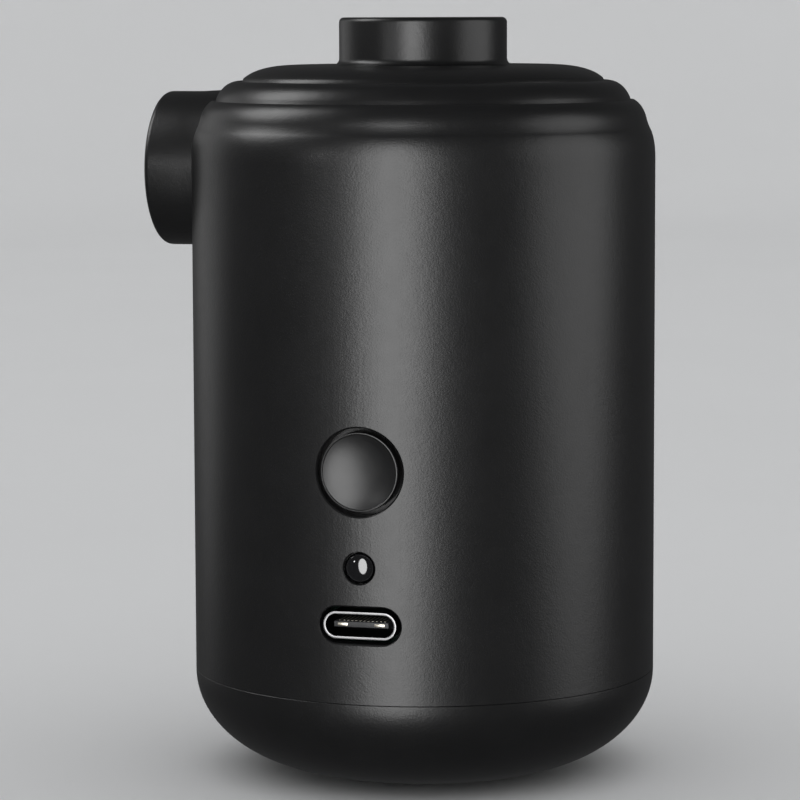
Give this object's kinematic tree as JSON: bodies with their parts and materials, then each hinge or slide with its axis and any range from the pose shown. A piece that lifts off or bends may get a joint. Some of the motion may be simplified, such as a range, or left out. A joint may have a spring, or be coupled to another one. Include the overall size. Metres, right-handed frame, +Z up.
{
  "type": "electric air mattress pump",
  "caption": "Small round rechargeable air pump: intake collar on top, outlet spigot at the side, dished power button, indicator lamp and charging socket in a column.",
  "frame": {"origin": "middle of the foot pad's underside, on the case's axis", "axes": "+Z up along the case, the impeller and the intake collar; -Y is the side with the button, lamp and charging socket; the outlet spigot points along -X"},
  "size_m": [0.0617, 0.0572, 0.0927],
  "materials": {
    "case_black": "fine matt grain",
    "grille_black": "matt",
    "button_black": "satin, dished",
    "lens_smoked": "smoked gloss",
    "rubber_black": "matt",
    "seal_silicone": "satin",
    "foam_grey": "closed-cell foam",
    "screw_steel": "zinc plated",
    "fan_white": "satin",
    "fan_ivory": "satin",
    "brass": "turned",
    "motor_steel": "drawn, zinc plated",
    "shaft_steel": "ground",
    "lamination": "stacked laminations",
    "copper": "enamelled copper",
    "ferrite": "sintered",
    "frame_black": "moulded",
    "cell_wrap": "shrink wrap",
    "nickel": "bright nickel",
    "board_green": "solder mask",
    "chip_black": "moulded",
    "led_white": "clear",
    "gold": "plated",
    "wire_red": "insulation",
    "wire_black": "insulation"
  },
  "bodies": {
    "case": {"main_housing": "case_black", "bottom_cover": "case_black", "foot_pad": "rubber_black", "base_seal": "seal_silicone", "base_screws": "screw_steel", "top_cover": "case_black", "top_seal": "seal_silicone", "intake_grille": "grille_black", "intake_seal": "foam_grey", "outlet_seal": "foam_grey", "indicator_lens": "lens_smoked", "fan_housing": "fan_white", "fan_cover": "fan_white", "fan_cover_screws": "screw_steel", "fan_mount_screws": "screw_steel", "motor_can": "motor_steel", "motor_end_cap": "fan_ivory", "motor_magnets": "ferrite", "motor_front_bush": "brass", "motor_rear_bush": "brass", "motor_brushes": "ferrite", "motor_terminals": "brass", "motor_gasket": "foam_grey", "motor_screws": "screw_steel", "motor_bracket": "frame_black", "bracket_screws": "screw_steel", "chassis": "frame_black", "front_cell": "cell_wrap", "rear_cell": "cell_wrap", "cell_tabs": "nickel", "main_board": "board_green", "board_parts": "chip_black", "status_led": "led_white", "switch_body": "chip_black", "socket_shell": "nickel", "socket_tongue": "chip_black", "socket_contacts": "gold", "motor_lead_red": "wire_red", "motor_lead_black": "wire_black", "battery_lead_red": "wire_red", "battery_lead_black": "wire_black"},
    "button": {"power_button": "button_black", "switch_plunger": "fan_ivory"},
    "rotor": {"impeller": "fan_ivory", "impeller_bush": "brass", "motor_shaft": "shaft_steel", "motor_armature": "lamination", "motor_windings": "copper", "motor_commutator": "copper"}
  },
  "joints": [
    {"name": "button_press", "type": "slide", "parent": "case", "child": "button", "axis": [0, 1, 0], "range_m": [0, 0.0005], "stiffness_N_per_m": 2500, "springref_m": -0.0002},
    {"name": "rotor_spin", "type": "hinge", "parent": "case", "child": "rotor", "pos_m": [0, 0, 0.05], "axis": [0, 0, 1], "continuous": true}
  ]
}
